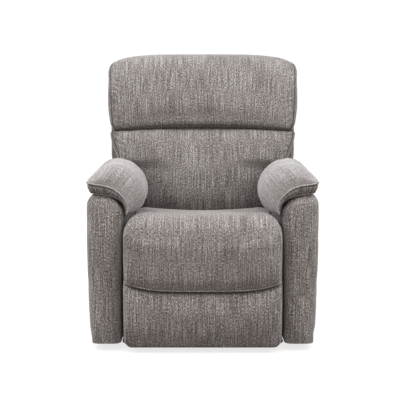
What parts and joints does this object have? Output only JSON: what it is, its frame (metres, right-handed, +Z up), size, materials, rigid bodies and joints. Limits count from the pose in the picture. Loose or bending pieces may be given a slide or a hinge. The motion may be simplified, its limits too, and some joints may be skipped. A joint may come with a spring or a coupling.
{
  "type": "recliner armchair",
  "caption": "Upholstered manual recliner armchair with pillow arm pads, a head cushion, a reclining back and a folding footrest on a link mechanism.",
  "frame": {"origin": "on the floor, under the middle of the chair's outline at rest", "axes": "+Z up; +X to the right as seen from the front, so the release is at -X; -Y is the way the chair faces"},
  "size_m": [0.82, 0.9191, 1.0361],
  "materials": {
    "arm_cover": "grey melange chenille, woven",
    "arm_pad": "grey melange chenille, woven",
    "seat_cushion": "grey melange chenille, woven",
    "back_cushion": "grey melange chenille, woven",
    "footrest_pad": "grey melange chenille, woven",
    "back_cover": "grey melange chenille, woven",
    "lining": "black lining cloth",
    "plywood": "raw plywood",
    "frame_steel": "black, satin",
    "link_steel": "black, satin",
    "spring_wire": "bright wire",
    "plastic": "black, fine grain",
    "cable": "black sheath"
  },
  "bodies": {
    "base": {"base_rail_left": "frame_steel", "base_rail_right": "frame_steel", "base_bracket_left": "frame_steel", "base_bracket_right": "frame_steel", "glide_front_left": "plastic", "glide_front_right": "plastic", "glide_rear_left": "plastic", "glide_rear_right": "plastic", "arm_cover_left": "arm_cover", "arm_cover_right": "arm_cover", "arm_pad_left": "arm_pad", "arm_pad_right": "arm_pad", "arm_inner_board_left": "plywood", "arm_inner_board_right": "plywood", "arm_outer_board_left": "plywood", "arm_outer_board_right": "plywood", "base_tube_front": "frame_steel", "base_tube_rear": "frame_steel", "rear_panel": "lining", "release_cup": "plastic", "release_cable": "cable"},
    "release_paddle": {"release_paddle": "plastic"},
    "swing_front": {"swing_link_front_left": "link_steel", "swing_link_front_right": "link_steel"},
    "swing_rear": {"swing_link_rear_left": "link_steel", "swing_link_rear_right": "link_steel"},
    "seat": {"seat_plate_left": "link_steel", "seat_plate_right": "link_steel", "seat_rail_left": "plywood", "seat_rail_right": "plywood", "seat_rail_front": "plywood", "seat_rail_rear": "plywood", "seat_springs": "spring_wire", "seat_cushion": "seat_cushion"},
    "back": {"back_bracket_left": "link_steel", "back_bracket_right": "link_steel", "back_upright_left": "plywood", "back_upright_right": "plywood", "back_rail_bottom": "plywood", "back_rail_middle": "plywood", "back_rail_top": "plywood", "lumbar_cushion": "back_cushion", "head_cushion": "back_cushion", "back_cover": "back_cover"},
    "lead_links": {"lead_link_left": "link_steel", "lead_link_right": "link_steel", "torque_tube": "link_steel"},
    "guide_links": {"guide_link_left": "link_steel", "guide_link_right": "link_steel"},
    "extension_links": {"extension_link_left": "link_steel", "extension_link_right": "link_steel"},
    "control_links": {"control_link_left": "link_steel", "control_link_right": "link_steel"},
    "footrest": {"footrest_bracket_left": "link_steel", "footrest_bracket_right": "link_steel", "footrest_board": "plywood", "footrest_pad": "footrest_pad"}
  },
  "joints": [
    {"name": "back_recline", "type": "hinge", "parent": "seat", "child": "back", "pos_m": [0, 0.25, 0.4], "axis": [-1, 0, 0], "range_deg": [0, 34]},
    {"name": "swing_front_turn", "type": "hinge", "parent": "base", "child": "swing_front", "pos_m": [0, -0.13, 0.13], "axis": [1, 0, 0], "range_deg": [0, 30.6]},
    {"name": "seat_level", "type": "hinge", "parent": "swing_front", "child": "seat", "pos_m": [0, -0.1109, 0.23833], "axis": [1, 0, 0], "range_deg": [-30.6, 0]},
    {"name": "swing_rear_turn", "type": "hinge", "parent": "base", "child": "swing_rear", "pos_m": [0, 0.13, 0.13], "axis": [1, 0, 0], "range_deg": [0, 30.6]},
    {"name": "footrest_extend", "type": "hinge", "parent": "seat", "child": "lead_links", "pos_m": [0, -0.196, 0.335], "axis": [-1, 0, 0], "range_deg": [0, 92]},
    {"name": "guide_turn", "type": "hinge", "parent": "seat", "child": "guide_links", "pos_m": [0, -0.23829, 0.35039], "axis": [-1, 0, 0], "range_deg": [0, 92]},
    {"name": "extension_turn", "type": "hinge", "parent": "lead_links", "child": "extension_links", "pos_m": [0, -0.04555, 0.13534], "axis": [-1, 0, 0], "range_deg": [-92, 0]},
    {"name": "control_turn", "type": "hinge", "parent": "lead_links", "child": "control_links", "pos_m": [0, -0.02147, 0.1034], "axis": [-1, 0, 0], "range_deg": [-92, 0]},
    {"name": "footrest_turn", "type": "hinge", "parent": "extension_links", "child": "footrest", "pos_m": [0, -0.31806, 0.23453], "axis": [-1, 0, 0], "range_deg": [0, 92]},
    {"name": "release_pull", "type": "hinge", "parent": "base", "child": "release_paddle", "pos_m": [-0.3918, -0.195, 0.42], "axis": [0, 0, 1], "range_deg": [0, 30], "stiffness_Nm_per_rad": 0.6}
  ],
  "couplings": [
    {"joint": "swing_front_turn", "follows": "back_recline", "ratio": 0.9},
    {"joint": "seat_level", "follows": "back_recline", "ratio": -0.9},
    {"joint": "swing_rear_turn", "follows": "back_recline", "ratio": 0.9},
    {"joint": "guide_turn", "follows": "footrest_extend", "ratio": 1},
    {"joint": "extension_turn", "follows": "footrest_extend", "ratio": -1},
    {"joint": "control_turn", "follows": "footrest_extend", "ratio": -1},
    {"joint": "footrest_turn", "follows": "footrest_extend", "ratio": 1}
  ]
}
